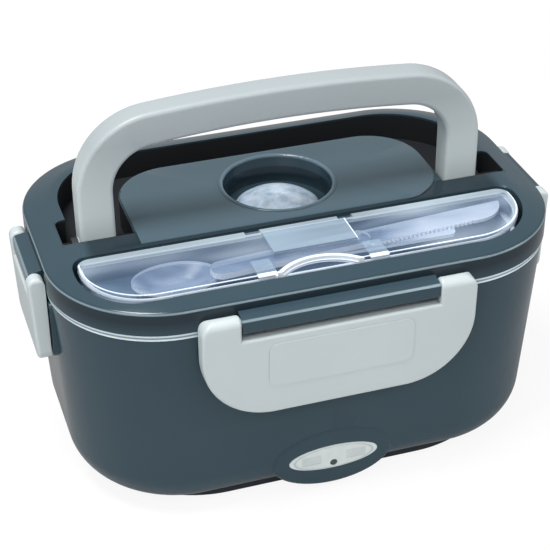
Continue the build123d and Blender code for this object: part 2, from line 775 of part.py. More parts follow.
with BuildPart() as food_tray:
    tray_inset = housing_wall + ledge_width + tray_side_gap
    with BuildSketch(Plane.XY.offset(tray_bottom)):
        add(housing_outline(tray_bottom, tray_inset))
    with BuildSketch(Plane.XY.offset(ledge_top)):
        add(housing_outline(ledge_top, tray_inset))
    loft()
    fillet(food_tray.faces().sort_by(Axis.Z)[0].edges(), tray_radius)
    with BuildSketch(Plane.XY.offset(ledge_top)):
        add(housing_outline(rim_height, housing_wall + side_gap))
    extrude(amount=tray_sheet)
    add(tray_hollow.part, mode=Mode.SUBTRACT)
save(food_tray.part, "food_tray")

# ---------------------------------------------------------------- lid
with BuildPart() as lid_hollow:
    with BuildSketch(Plane.XY.offset(lid_base)):
        add(lid_outline(lid_wall))
    extrude(amount=lid_height - lid_wall - shoulder_drop)
    with BuildSketch(Plane.XY.offset(lid_top - lid_wall - shoulder_drop)):
        add(lid_outline(lid_wall))
    with BuildSketch(Plane.XY.offset(lid_top - lid_wall)):
        add(lid_outline(lid_wall + shoulder_width))
    loft()

with BuildPart() as lid_form:
    shoulder_level = lid_top - shoulder_drop
    with BuildSketch(Plane.XY.offset(lid_base)):
        add(lid_outline(0))
    extrude(amount=shoulder_level - lid_base)
    with BuildSketch(Plane.XY.offset(shoulder_level)):
        add(lid_outline(0))
    with BuildSketch(Plane.XY.offset(lid_top)):
        add(lid_outline(shoulder_width))
    loft()
    fillet(lid_form.faces().sort_by(Axis.Z)[-1].edges(), crown_radius)
    fillet(lid_form.edges().filter_by_position(Axis.Z, shoulder_level - 0.01, shoulder_level + 0.01),
           shoulder_edge)

# walls of the groove, the case's bay, the vent and the pivot blocks
groove_under = groove_floor - groove_skin
bay_under = case_floor - side_gap - groove_skin
with BuildPart() as lid_walls:
    with BuildSketch(Plane.XY.offset(groove_under)):
        add(groove_outline(groove_skin))
    extrude(amount=lid_top - groove_under)
    with BuildSketch(Plane.XY.offset(bay_under)):
        add(bay_outline(groove_skin))
    extrude(amount=lid_top - bay_under)
    with BuildSketch(Plane.XY.offset(vent_floor - groove_skin)):
        with Locations((0, vent_y)):
            Circle(vent_radius + groove_skin)
    extrude(amount=lid_top - vent_floor + groove_skin)
    with BuildSketch(Plane.XY.offset(groove_under)):
        block_depth = 2 * pin_radius + 6
        for end in (-1, 1):
            with Locations((end * (groove_half_inner - pivot_block / 2), pivot_y),
                           (end * (pocket_half_outer + pivot_block / 2), pivot_y)):
                Rectangle(pivot_block, block_depth)
    extrude(amount=lid_top - groove_under)
    add(lid_form.part, mode=Mode.INTERSECT)

with BuildPart() as lid_shell:
    add(lid_form.part)
    # raised panel between the handle's legs
    with BuildSketch(Plane.XY.offset(lid_top)):
        panel_half = groove_half_inner - panel_gap
        add(box_outline(panel_half, panel_front, groove_inner_back - panel_gap,
                        panel_front_corner, groove_inner_corner - panel_gap))
        # only its right front corner is rounded
        with Locations((-panel_half / 2, panel_front + panel_front_corner / 2)):
            Rectangle(panel_half, panel_front_corner)
    extrude(amount=panel_rise)
    fillet(lid_shell.faces().sort_by(Axis.Z)[-1].edges(), panel_rise * 0.8)
    # hinge bars
    for outward, reach, bar_half, catch_half, pad_half, pad_bottom in sides:
        with BuildSketch(side_plane(outward, reach)) as bar:
            with BuildLine():
                Polyline((-lid_wall / 2, bar_top), (bar_reach - bar_bevel, bar_top - bar_fall),
                         (bar_reach, bar_top - bar_fall - bar_bevel), (bar_reach, bar_bottom + bar_bevel),
                         (bar_reach - bar_bevel, bar_bottom), (-lid_wall / 2, bar_bottom + bar_undercut),
                         close=True)
            make_face()
        extrude(amount=bar_half, both=True)
    add(lid_hollow.part, mode=Mode.SUBTRACT)
    add(lid_walls.part)
    # groove, bay, vent well, steam hole
    with BuildSketch(Plane.XY.offset(groove_floor)):
        add(groove_outline(0))
    extrude(amount=lid_height, mode=Mode.SUBTRACT)
    with BuildSketch(Plane.XY.offset(case_floor - side_gap)):
        add(bay_outline(0))
    extrude(amount=lid_height, mode=Mode.SUBTRACT)
    with BuildSketch(Plane.XY.offset(lid_top - rim_bevel_drop)):
        add(bay_outline(0))
    with BuildSketch(Plane.XY.offset(lid_top + panel_rise)):
        add(bay_outline(rim_bevel_width))
    loft(mode=Mode.SUBTRACT)
    with BuildSketch(Plane.XY.offset(vent_floor)):
        with Locations((0, vent_y)):
            Circle(vent_radius)
    extrude(amount=lid_height, mode=Mode.SUBTRACT)
    with BuildSketch(Plane.XY.offset(lid_base)):
        with Locations((0, vent_y)):
            Circle(vent_hole_radius)
    extrude(amount=lid_height, mode=Mode.SUBTRACT)
    with BuildSketch(Plane.XY.offset(lid_top + panel_rise / 2)):
        with Locations((0, vent_y)):
            Circle(vent_radius + vent_lip_width)
            Circle(vent_radius, mode=Mode.SUBTRACT)
    extrude(amount=panel_rise / 2 + vent_lip_rise)
    for radius, rounding in ((vent_radius, vent_edge), (vent_radius + vent_lip_width, vent_lip_edge)):
        rim = lid_shell.edges().filter_by(GeomType.CIRCLE).filter_by(
            lambda edge: abs(edge.radius - radius) < 0.01).sort_by(Axis.Z)[-1]
        fillet(rim, rounding)
    # bearings of the handle's pins
    for end in (-1, 1):
        for wall, seat in ((groove_half_inner, -pin_seat), (pocket_half_outer, pin_seat)):
            with BuildSketch(Plane.YZ.offset(end * wall)):
                with Locations((pivot_y, pivot_z)):
                    Circle(pin_radius + running_gap)
            extrude(amount=end * (seat + side_gap * (1 if seat > 0 else -1)), mode=Mode.SUBTRACT)
    # wells of the latches' studs
    for outward, reach, bar_half, catch_half, pad_half, pad_bottom in sides:
        axis_plane = side_plane(outward, reach)
        for end in (-1, 1):
            with BuildSketch(axis_plane.offset(end * bar_half)):
                with Locations((latch_axis_out, latch_axis)):
                    Circle(stud_radius + running_gap)
            extrude(amount=-end * stud_well, mode=Mode.SUBTRACT)
save(lid_shell.part, "lid_shell")

with BuildPart() as lid_liner:
    with BuildSketch(Plane.XY.offset(liner_bottom)):
        add(lid_outline(lid_wall + side_gap))
    extrude(amount=lid_base - liner_bottom)
    plug_inset = rim_setback + housing_wall + ledge_width + tray_side_gap + tray_sheet + 0.9
    with BuildSketch(Plane.XY.offset(liner_bottom)):
        add(lid_outline(plug_inset))
        add(lid_outline(plug_inset + 2), mode=Mode.SUBTRACT)
    extrude(amount=-4.0)
    fillet(lid_liner.faces().sort_by(Axis.Z)[0].edges(), 0.6)
    with BuildSketch(Plane.XY.offset(liner_bottom)):
        with Locations((0, vent_y)):
            Circle(vent_hole_radius)
    extrude(amount=lid_height, mode=Mode.SUBTRACT)
save(lid_liner.part, "lid_liner")

with BuildPart() as seal_ring:
    with BuildSketch(Plane.XY.offset(rim_height + slip)):
        add(lid_outline(seal_setback))
        add(lid_outline(seal_depth), mode=Mode.SUBTRACT)
    extrude(amount=seal_skin)
    with BuildSketch(Plane.XY.offset(liner_bottom)):
        add(lid_outline(seal_setback))
        add(lid_outline(lid_wall), mode=Mode.SUBTRACT)
    extrude(amount=lid_base - liner_bottom)
    fillet(seal_ring.faces().sort_by(Axis.Z)[0].outer_wire().edges(), 0.6)
save(seal_ring.part, "seal_ring")

# ---------------------------------------------------------------- handle
inner_half = handle_half_length - handle_section
inner_rise = handle_rise - grip_section
inner_corner = handle_corner - handle_section
crown_share = inner_half / handle_half_length

handle_plane = Plane(origin=(handle_shift, pivot_y, 0), x_dir=(1, 0, 0), z_dir=(0, -1, 0))
with BuildPart() as handle:
    with BuildSketch(handle_plane):
        with BuildLine():
            Line((-handle_half_length, pivot_z), (handle_half_length, pivot_z))
            Line((handle_half_length, pivot_z),
                 (handle_half_length, pivot_z + handle_rise - handle_crown))
            ThreePointArc((handle_half_length, pivot_z + handle_rise - handle_crown),
                          (0, pivot_z + handle_rise),
                          (-handle_half_length, pivot_z + handle_rise - handle_crown))
            Line((-handle_half_length, pivot_z + handle_rise - handle_crown),
                 (-handle_half_length, pivot_z))
        outer_bow = make_face()
        fillet(outer_bow.vertices().group_by(Axis.Y)[-1], handle_corner)
    extrude(amount=handle_depth / 2, both=True)
    with BuildSketch(handle_plane):
        with BuildLine():
            low = pivot_z - 1
            shoulder = pivot_z + inner_rise - handle_crown * crown_share
            Line((-inner_half, low), (inner_half, low))
            Line((inner_half, low), (inner_half, shoulder))
            ThreePointArc((inner_half, shoulder), (0, pivot_z + inner_rise), (-inner_half, shoulder))
            Line((-inner_half, shoulder), (-inner_half, low))
        inner_bow = make_face()
        fillet(inner_bow.vertices().group_by(Axis.Y)[-1], inner_corner)
    extrude(amount=handle_depth, both=True, mode=Mode.SUBTRACT)
    for end in (-1, 1):
        with BuildSketch(Plane.YZ.offset(handle_shift + end * inner_half)):
            with Locations((pivot_y, pivot_z)):
                Circle(handle_depth / 2)
        extrude(amount=end * handle_section)
    long_edges = [edge for face in (handle.faces().sort_by(Axis.Y)[0], handle.faces().sort_by(Axis.Y)[-1])
                  for edge in face.edges() if edge.center().Z > pivot_z + 1]
    fillet(long_edges, handle_edge)
    for end in (-1, 1):
        with BuildSketch(Plane.YZ.offset(handle_shift + end * handle_half_length)):
            with Locations((pivot_y, pivot_z)):
                Circle(leg_boss_radius)
        extrude(amount=end * leg_boss_length)
        with BuildSketch(Plane.YZ.offset(handle_shift + end * inner_half)):
            with Locations((pivot_y, pivot_z)):
                Circle(pin_radius)
        extrude(amount=end * (handle_section + leg_boss_length), mode=Mode.SUBTRACT)
save(handle.part, "handle")

with BuildPart() as handle_pins:
    for end in (-1, 1):
        with BuildSketch(Plane.YZ.offset(end * (groove_half_inner - pin_seat))):
            with Locations((pivot_y, pivot_z)):
                Circle(pin_radius)
        extrude(amount=end * (pocket_half_outer - groove_half_inner + 2 * pin_seat))
save(handle_pins.part, "handle_pins")


# ---------------------------------------------------------------- latches
def latch(name, outward, reach, bar_half, half, bottom, corner, arm_corner, catch_half, raised_half=0.0):
    """Flap with two arms that turn on the ends of a hinge bar."""
    outer = latch_axis_out + arm_radius
    inner = latch_axis_out - arm_radius
    profile_plane = side_plane(outward, reach)
    with BuildPart() as flap:
        with BuildSketch(profile_plane):
            with BuildLine():
                Line((outer, latch_axis), (outer - latch_lean, bottom))
                Line((outer - latch_lean, bottom), (inner, bottom))
                Line((inner, bottom), (inner, latch_axis))
                ThreePointArc((inner, latch_axis), (latch_axis_out, latch_axis + arm_radius),
                              (outer, latch_axis))
            make_face()
        extrude(amount=half, both=True)
        arm_top = latch_axis + arm_radius
        notch = bar_bottom - latch_notch_drop
        with BuildSketch(face_plane(outward, reach - 2)) as outline:
            with BuildLine():
                Polyline((-half, bottom), (half, bottom), (half, arm_top), (bar_half + side_gap, arm_top),
                         (bar_half + side_gap, notch), (-bar_half - side_gap, notch),
                         (-bar_half - side_gap, arm_top), (-half, arm_top), close=True)
            make_face()
            fillet(outline.vertices().group_by(Axis.Y)[0], corner)
            top_corners = outline.vertices().group_by(Axis.Y)[-1].sort_by(Axis.X)
            fillet([top_corners[0], top_corners[-1]], arm_corner)
        extrude(amount=outer + 4, mode=Mode.INTERSECT)
        # soft edges round the outer face
        face = flap.faces().filter_by(GeomType.PLANE).sort_by(Axis((0, 0, 0), outward))[-1]
        fillet([edge for edge in face.edges() if edge.center().Z < latch_axis - 0.5], latch_edge)
        if raised_half:
            fall = latch_axis - bottom
            middle = (emboss_top + emboss_bottom) / 2
            reach_there = reach + outer - latch_lean * (latch_axis - middle) / fall
            with BuildSketch(Plane(origin=outward * reach_there + Vector(0, 0, middle),
                                   x_dir=Vector(0, 0, 1).cross(outward),
                                   z_dir=outward * fall - Vector(0, 0, latch_lean))):
                RectangleRounded(2 * raised_half, emboss_top - emboss_bottom, emboss_corner)
            extrude(amount=emboss_rise)
        # hollow back
        hollow_height = notch - bottom - 3 * latch_skirt
        hollow_corner = min(max(corner - latch_skirt, 1), hollow_height - 2.5)
        with BuildSketch(face_plane(outward, reach - 2)) as hollow:
            with Locations((0, bottom + latch_skirt + hollow_height / 2)):
                Rectangle(2 * (half - latch_skirt), hollow_height)
            fillet(hollow.vertices().group_by(Axis.Y)[0], hollow_corner)
        extrude(amount=outer + 2 - latch_skin - latch_lean, mode=Mode.SUBTRACT)
        # hook under the catch
        with BuildSketch(profile_plane):
            hook_inner = catch_reach + side_gap
            with Locations(((hook_inner + outer - 1) / 2, catch_bottom - catch_air - hook_height / 2)):
                Rectangle(outer - 1 - hook_inner, hook_height)
        extrude(amount=catch_half, both=True)
        # studs in the ends of the hinge bar
        for end in (-1, 1):
            with BuildSketch(profile_plane.offset(end * (bar_half + side_gap))):
                with Locations((latch_axis_out, latch_axis)):
                    Circle(stud_radius)
            extrude(amount=-end * (stud_length + side_gap))
    save(flap.part, name)


latch("latch_front", front, lid_width / 2, bar_half_front, latch_half_front, latch_bottom_front,
      latch_corner_front, arm_corner_front, catch_half_front, emboss_half)
latch("latch_back", back, lid_width / 2, bar_half_front, latch_half_front, latch_bottom_front,
      latch_corner_front, arm_corner_front, catch_half_front, emboss_half)
latch("latch_left", left, lid_length / 2, bar_half_side, latch_half_side, latch_bottom_side,
      latch_corner_side, arm_corner_side, catch_half_side)
latch("latch_right", right, lid_length / 2, bar_half_side, latch_half_side, latch_bottom_side,
      latch_corner_side, arm_corner_side, catch_half_side)

# ---------------------------------------------------------------- steam vent plug
with BuildPart() as vent_plug:
    with BuildSketch(Plane.XZ.offset(-vent_y)):
        with BuildLine():
            seat = vent_floor + slip
            rim = seat + plug_flange
            dome_radius = (plug_radius ** 2 + plug_dome ** 2) / (2 * plug_dome)
            Line((0, seat - plug_stem_length), (plug_stem_radius, seat - plug_stem_length))
            Line((plug_stem_radius, seat - plug_stem_length), (plug_stem_radius, seat))
            Line((plug_stem_radius, seat), (plug_radius, seat))
            Line((plug_radius, seat), (plug_radius, rim))
            RadiusArc((plug_radius, rim), (0, rim + plug_dome), -dome_radius)
            Line((0, rim + plug_dome), (0, seat - plug_stem_length))
        make_face()
    revolve(axis=Axis((0, vent_y, 0), (0, 0, 1)))
save(vent_plug.part, "vent_plug")

# ---------------------------------------------------------------- cutlery case
case_split = case_top - case_lid_height
case_axis_y = case_back - case_axis_in
case_axis_z = case_top - case_axis_down
ear_middle = case_knuckle_half + side_gap + case_ear_length / 2

with BuildPart() as cutlery_case:
    with BuildSketch(Plane.XY.offset(case_floor)):
        add(case_outline(base_inset))
    extrude(amount=case_split - slip - case_floor)
    fillet(cutlery_case.faces().sort_by(Axis.Z)[0].edges(), case_bottom_edge)
    with BuildSketch(Plane.XY.offset(case_floor + case_skin)):
        add(case_outline(base_inset + case_skin))
    extrude(amount=case_height, mode=Mode.SUBTRACT)
    with BuildSketch(Plane.XY.offset(case_split - case_back_relief)):
        with Locations((0, case_back)):
            Rectangle(3 * case_half_length, 2 * (case_axis_in + case_knuckle_radius + side_gap))
    extrude(amount=case_height, mode=Mode.SUBTRACT)
    for end in (-1, 1):
        with BuildSketch(Plane.YZ.offset(case_shift + end * ear_middle)):
            with Locations((case_axis_y, case_axis_z)):
                Circle(case_knuckle_radius)
            with Locations((case_axis_y, (case_axis_z + case_split - case_back_relief - 1) / 2)):
                Rectangle(case_skin, case_axis_z - case_split + case_back_relief + 1)
        extrude(amount=case_ear_length / 2, both=True)
        with BuildSketch(Plane.YZ.offset(case_shift + end * ear_middle)):
            with Locations((case_axis_y, case_axis_z)):
                Circle(case_pin_radius)
        extrude(amount=-end * (case_ear_length / 2 + side_gap + case_pin_length))
save(cutlery_case.part, "cutlery_case")

with BuildPart() as case_lid:
    with BuildSketch(Plane.XY.offset(case_split)):
        add(case_outline(0))
    extrude(amount=case_lid_height)
    fillet(case_lid.faces().sort_by(Axis.Z)[-1].edges(), case_lid_edge)
    with BuildSketch(Plane.XY.offset(case_split)):
        add(case_outline(case_skin))
    extrude(amount=case_lid_height - case_skin, mode=Mode.SUBTRACT)
    with BuildSketch(Plane.YZ.offset(case_shift)):
        with Locations((case_axis_y, case_axis_z)):
            Circle(case_knuckle_radius)
    extrude(amount=case_knuckle_half, both=True)
    with BuildSketch(Plane.XY.offset(case_split - case_skin)):
        with Locations((case_shift - ear_middle, case_back), (case_shift + ear_middle, case_back)):
            Rectangle(case_ear_length + 2 * side_gap, 2 * (case_axis_in + case_knuckle_radius + side_gap))
    extrude(amount=case_height, mode=Mode.SUBTRACT)
    with BuildSketch(Plane.YZ.offset(case_shift)):
        with Locations((case_axis_y, case_axis_z)):
            Circle(case_pin_radius + running_gap)
    extrude(amount=case_knuckle_half, both=True, mode=Mode.SUBTRACT)
    # scoop for the thumb, with its own wall
    thumb_radius = (thumb_half ** 2 + thumb_depth ** 2) / (2 * thumb_depth)
    thumb_middle = (thumb_x, case_front + thumb_depth - thumb_radius)
    with BuildSketch(Plane.XY.offset(case_split)):
        with Locations(thumb_middle):
            Circle(thumb_radius + case_skin)
        add(case_outline(0), mode=Mode.INTERSECT)
    extrude(amount=case_lid_height)
    with BuildSketch(Plane.XY.offset(case_split + thumb_floor)):
        with Locations(thumb_middle):
            Circle(thumb_radius)
    extrude(amount=case_height, mode=Mode.SUBTRACT)
    with BuildSketch(Plane.XY.offset(case_top)):
        with Locations((grip_x, grip_y)):
            Rectangle(grip_length, grip_width)
    extrude(amount=grip_height)
    for end in (-1, 1):
        with BuildSketch(Plane.YZ.offset(clip_x + end * clip_offset)):
            with BuildLine():
                Polyline((case_front - clip_thickness, case_split - clip_drop),
                         (case_front, case_split - clip_drop), (case_front, case_top - case_skin / 2),
                         (case_front + clip_length, case_top - case_skin / 2),
                         (case_front + clip_length, case_top + clip_rise),
                         (case_front, case_top + clip_rise),
                         (case_front - clip_thickness, case_top - clip_rise), close=True)
            make_face()
        extrude(amount=clip_width / 2, both=True)
save(case_lid.part, "case_lid")

# ---------------------------------------------------------------- cutlery
cutlery_floor = case_floor + case_skin
spoon_rim = cutlery_floor + slip + spoon_depth
with BuildPart() as knife:
    # the knife lies on top of the spoon
    lying = Plane(origin=(knife_x, knife_y, spoon_rim + slip), z_dir=(0, 0, 1)).rotated((0, 0, knife_turn))
    tip = knife_length / 2
    neck = tip - knife_blade
    with BuildSketch(lying):
        with BuildLine():
            Polyline((neck, knife_width / 2), (neck, knife_heel - knife_width / 2),
                     (neck + knife_heel, -knife_width / 2), (tip - knife_point, -knife_width / 2))
            TangentArc((tip - knife_point, -knife_width / 2), (tip, knife_width / 2), tangent=(1, 0))
            Line((tip, knife_width / 2), (neck, knife_width / 2))
        make_face()
        teeth = [(neck + tooth_start + tooth * tooth_pitch, -knife_width / 2)
                 for tooth in range(tooth_count)]
        with Locations(*teeth):
            Rectangle(tooth_depth, tooth_depth, rotation=45, mode=Mode.SUBTRACT)
    extrude(amount=cutlery_sheet)
    with BuildSketch(lying):
        with Locations(((neck + knife_heel - tip) / 2, 0)):
            RectangleRounded(neck + knife_heel + tip, knife_grip_width, 0.45 * knife_grip_width)
    extrude(amount=knife_grip_thickness)
save(knife.part, "knife")

with BuildPart() as spoon:
    bowl = Plane(origin=(spoon_x, spoon_y, spoon_rim), z_dir=(0, 0, 1)).rotated((0, 0, spoon_turn))
    bowl_end = spoon_bowl_length / 2
    with BuildSketch(bowl.offset(-cutlery_sheet)):
        Ellipse(bowl_end, spoon_bowl_width / 2)
        stem_start = bowl_end - cutlery_sheet - spoon_stem_corner
        stem_end = spoon_length - bowl_end
        with Locations(((stem_end + stem_start) / 2, 0)):
            RectangleRounded(stem_end - stem_start, spoon_stem_width, spoon_stem_corner)
    extrude(amount=cutlery_sheet)
    floor_length = bowl_end * spoon_floor_length
    floor_width = spoon_bowl_width / 2 * spoon_floor_width
    for inset, level, mode in ((0, -spoon_depth, Mode.ADD), (cutlery_sheet, cutlery_sheet - spoon_depth,
                                                             Mode.SUBTRACT)):
        with BuildSketch(bowl):
            Ellipse(bowl_end - inset, spoon_bowl_width / 2 - inset)
        with BuildSketch(bowl.offset(level)):
            Ellipse(floor_length - inset / 2, floor_width - inset / 2)
        loft(mode=mode)
save(spoon.part, "spoon")
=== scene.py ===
# %% [markdown]
# An electric lunch box: a glossy slate tub with a lid that four pale latches hold down, a carry
# handle, a milky steam plug and a clear case with a spoon and a knife in the lid. The construction
# comes ready made, so this lesson is about what the eye sees: edges, finishes, light and camera.

# %% Load the construction
import json
import math

import bmesh
import bpy
from mathutils import Matrix, Vector


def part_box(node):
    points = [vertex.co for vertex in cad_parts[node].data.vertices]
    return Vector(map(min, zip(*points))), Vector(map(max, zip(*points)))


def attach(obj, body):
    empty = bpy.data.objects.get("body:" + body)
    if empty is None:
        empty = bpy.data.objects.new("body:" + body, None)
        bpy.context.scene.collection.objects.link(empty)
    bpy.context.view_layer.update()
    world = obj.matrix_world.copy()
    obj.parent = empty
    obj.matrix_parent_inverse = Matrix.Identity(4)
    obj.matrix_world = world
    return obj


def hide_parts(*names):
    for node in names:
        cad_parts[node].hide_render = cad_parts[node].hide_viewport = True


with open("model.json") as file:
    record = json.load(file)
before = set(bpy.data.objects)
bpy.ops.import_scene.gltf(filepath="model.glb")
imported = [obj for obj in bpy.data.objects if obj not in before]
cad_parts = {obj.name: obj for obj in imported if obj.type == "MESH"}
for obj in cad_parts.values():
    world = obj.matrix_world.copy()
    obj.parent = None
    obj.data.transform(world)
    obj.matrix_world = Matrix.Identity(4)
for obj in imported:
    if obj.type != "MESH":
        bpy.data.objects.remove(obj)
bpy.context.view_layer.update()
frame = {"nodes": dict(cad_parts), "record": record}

body_of = {node: body for body, nodes in frame["record"]["behaviour"]["bodies"].items()
           for node in nodes}
slot_of = {part["node"]: part["material_slot"] for part in frame["record"]["subparts"]}

# %% [markdown]
# The camera comes first, because every judgement of shape depends on it. A long lens about 0.7 m
# away flattens the box as the photograph does. Turning a camera by three angles is easier to
# correct than aiming it at an empty, so the angles are written down in degrees.

# %% The camera
camera_place = (-0.1811, -0.5570, 0.4444)
turn, look_down, roll = -17.64, 32.67, -0.54

lens = bpy.data.cameras.new("camera")
lens.sensor_width = 36.0
lens.lens = 102.19
camera = bpy.data.objects.new("camera", lens)
camera.location = camera_place
camera.rotation_euler = (Matrix.Rotation(math.radians(turn), 3, "Z")
                         @ Matrix.Rotation(math.radians(90 - look_down), 3, "X")
                         @ Matrix.Rotation(math.radians(roll), 3, "Z")).to_euler()
bpy.context.scene.collection.objects.link(camera)
bpy.context.scene.camera = camera
bpy.context.scene.view_settings.view_transform = "Standard"

# %% [markdown]
# Shader maths is easier to read as a formula than as a list of nodes. This small class wraps a
# number socket, so that `1 - mask * 0.3` adds the two Math nodes by itself. A mask is a number from
# 0 to 1, and it fades over a soft distance, so that no tone ends in a stair of pixels.

# %% Numbers that are sockets
def fill(tree, entry, value):
    """Link a number or a socket to an entry, or set the entry to a plain value."""
    if isinstance(value, Number):
        tree.links.new(value.socket, entry)
    elif isinstance(value, bpy.types.NodeSocket):
        tree.links.new(value, entry)
    else:
        entry.default_value = value


class Number:
    """A number socket that can be added, multiplied and subtracted like a plain value."""

    def __init__(self, tree, socket):
        self.tree = tree
        self.socket = socket

    def join(self, operation, first, second, clamp=False):
        node = self.tree.nodes.new("ShaderNodeMath")
        node.operation = operation
        node.use_clamp = clamp
        for entry, value in zip(node.inputs, (first, second)):
            fill(self.tree, entry, value)
        return Number(self.tree, node.outputs[0])

    def __add__(self, other):
        return self.join("ADD", self, other)

    def __mul__(self, other):
        return self.join("MULTIPLY", self, other)

    def __sub__(self, other):
        return self.join("SUBTRACT", self, other)

    def __rsub__(self, other):
        return self.join("SUBTRACT", other, self)

    def clamped(self):
        return self.join("ADD", self, 0.0, clamp=True)

    def size(self):
        return self.join("ABSOLUTE", self, 0.0)

    def root(self):
        return self.join("SQRT", self, 0.0)

    def at_least(self, other):
        return self.join("MAXIMUM", self, other)

    def above(self, limit, soft):
        """0 under a limit and 1 from soft above it."""
        return ((self - limit) * (1 / soft)).clamped()

    def below(self, limit, soft):
        """1 under a limit and 0 from soft above it."""
        return 1 - self.above(limit, soft)

    def between(self, low, high, soft):
        """1 from low to high, and 0 outside."""
        return self.above(low, soft) * self.below(high, soft)

    def near(self, middle, half, soft):
        """1 up to half away from a middle value, and 0 further out."""
        return (self - middle).size().below(half, soft)


def reach(across, along, half_across=0.0, half_along=0.0):
    """Distance of a point from a rectangle round the origin: rounded outlines are a limit of it."""
    beyond = (across.size() - half_across).at_least(0.0)
    past = (along.size() - half_along).at_least(0.0)
    return (beyond * beyond + past * past).root()


# %% [markdown]
# A finish is a material with one shader and a few helpers. `node` adds any node by its type, sets
# its options and fills its sockets. `noise` and `tone` are what every moulded surface needs: a
# pattern that drifts slowly or is a fine grain, and two colours for it to move between.

# %% A finish
class Finish:
    """A material with a Principled shader and short ways to add patterns to it."""

    def __init__(self, name, **settings):
        self.material = bpy.data.materials.new(name)
        self.material.use_nodes = True
        self.tree = self.material.node_tree
        self.shader = self.tree.nodes["Principled BSDF"]
        where = self.tree.nodes.new("ShaderNodeTexCoord")
        self.place = where.outputs["Object"]
        self.normal = where.outputs["Normal"]
        for socket, value in settings.items():
            self.feed(socket.replace("_", " "), value)

    def feed(self, socket, value):
        fill(self.tree, self.shader.inputs[socket], value)

    def node(self, kind, settings=None, sockets=None):
        made = self.tree.nodes.new(kind)
        for name, value in (settings or {}).items():
            setattr(made, name, value)
        for name, value in (sockets or {}).items():
            fill(self.tree, made.inputs[name], value)
        return made

    def split(self, vector):
        """The three numbers of a place or a direction."""
        parts = self.node("ShaderNodeSeparateXYZ", {}, {"Vector": vector})
        return [Number(self.tree, output) for output in parts.outputs]

    def noise(self, size, detail=2.0, stretch=(1, 1, 1)):
        """Noise from 0 to 1 whose grains are about size metres across."""
        mapped = self.node("ShaderNodeMapping", {}, {"Vector": self.place, "Scale": stretch})
        made = self.node("ShaderNodeTexNoise", {}, {"Vector": mapped.outputs[0], "Scale": 1 / size,
                                                    "Detail": detail})
        return Number(self.tree, made.outputs["Fac"])

    def tone(self, mask, dark, light):
        """A colour between two, by a mask."""
        made = self.node("ShaderNodeMix", {"data_type": "RGBA"}, {0: mask, 6: dark, 7: light})
        return made.outputs[2]

    def bump(self, height, depth):
        """Relief of a depth in metres."""
        made = self.node("ShaderNodeBump", {}, {"Height": height, "Distance": depth})
        self.feed("Normal", made.outputs[0])


def rgb(red, green, blue):
    """A screen colour of 0 to 255 as the linear colour that a shader expects."""
    linear = [((v / 255 + 0.055) / 1.055) ** 2.4 if v > 10 else v / 255 / 12.92
              for v in (red, green, blue)]
    return (*linear, 1.0)


# %% [markdown]
# The tub and the lid are one glossy slate polypropylene. Up close such a moulding isn't perfectly
# even: the pigment drifts a little, the skin has a slight orange peel, and handling leaves patches
# where the gloss is softer. The rest of its tones go with the place on the lid. Little light comes
# back out of the handle's groove, from under the rounded shoulder and off the strip behind the
# case, so these get painted shade. The raised panel is a shade paler, and the edges that catch the
# light and the lip round the steam plug get painted highlights as pale lines.

# %% Places on the lid, in metres
lid_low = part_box("lid_shell")[0]
vent_low, vent_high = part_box("vent_plug")
vent_y = (vent_low.y + vent_high.y) / 2
lid_top = 0.1114                        # the flat top, on which the panel stands
lid_half_x, lid_half_y, lid_corner = 0.109, 0.0701, 0.048
shoulder = lid_top - 0.0046             # where the rounded edge has turned into the wall
# Band of the painted highlight line round the shoulder's foot.
brim_low, brim_high, brim_width = lid_top - 0.0052, lid_top - 0.0045, 0.0012
flat_edge = lid_top - 0.0008            # how low a place still counts as the flat top
bar_out_x, bar_out_y = 0.1144, 0.0755   # outer edges of the hinge bars
# Above this height the outer edges of the hinge bars get a painted highlight.
bar_edge = 0.1012                       # height above which a bar's edge is pale
groove_flat_x, groove_flat_y, groove_corner = 0.056, 0.0195, 0.0384
groove_front, groove_floor, groove_rim = -0.0131, 0.0983, lid_top - 0.0014
pocket_end, pocket_back = 0.0988, 0.0072
well_lip, well_lip_out, well_out = 0.0235, 0.0246, 0.0255     # radii round the steam plug
# The strip between groove and case gets painted shade.
land_front, land_back, land_end = -0.0285, -0.0125, 0.088     # strip between groove and case
crisp = 0.0003                          # how soft a mask's edge is where it should look sharp
hair = 0.0001


# %% Slate plastic
def painted_groove_shade(across, along, up, from_vent):
    """Painted shade in the handle's groove and its pockets, but not in the well of the steam plug.
    """
    groove = reach(across, along, groove_flat_x, groove_flat_y).below(groove_corner, crisp)
    pocket = across.size().below(pocket_end, crisp) * along.below(pocket_back, crisp)
    deep = up.below(groove_rim, 0.001) * up.above(groove_floor - 0.001, 0.0005)
    groove_shade = (groove + pocket).clamped() * deep * from_vent.above(well_out, 0.001)
    return groove_shade * along.above(groove_front - 0.001, 0.001)


def painted_shade_places(across, along, up, panel):
    """Painted shade on the strip behind the case, and on the wall under the shoulder down to the
    seal.
    """
    land = up.above(flat_edge, 0.0002) * (1 - panel)
    land = land * along.between(land_front, land_back, 0.001) * across.size().below(land_end, 0.004)
    wall = up.below(shoulder, 0.0008) * up.above(lid_low.z + 0.001, 0.006)
    wall = wall * along.size().below(lid_half_y + hair, 0.0002)
    wall = wall * across.size().below(lid_half_x + hair, 0.0002)
    return (land + wall).clamped()


def painted_edge_highlights(across, along, up):
    """Painted highlights: the line round the shoulder's foot, and the outer edges of the hinge
    bars.
    """
    out = reach(across, along, lid_half_x - lid_corner, lid_half_y - lid_corner)
    brim = up.between(brim_low, brim_high, crisp) * out.above(lid_corner - brim_width, crisp)
    bars = along.size().above(bar_out_y, 0.0004) + across.size().above(bar_out_x, 0.0004)
    return (brim + bars * up.above(bar_edge, 0.0004)).clamped()


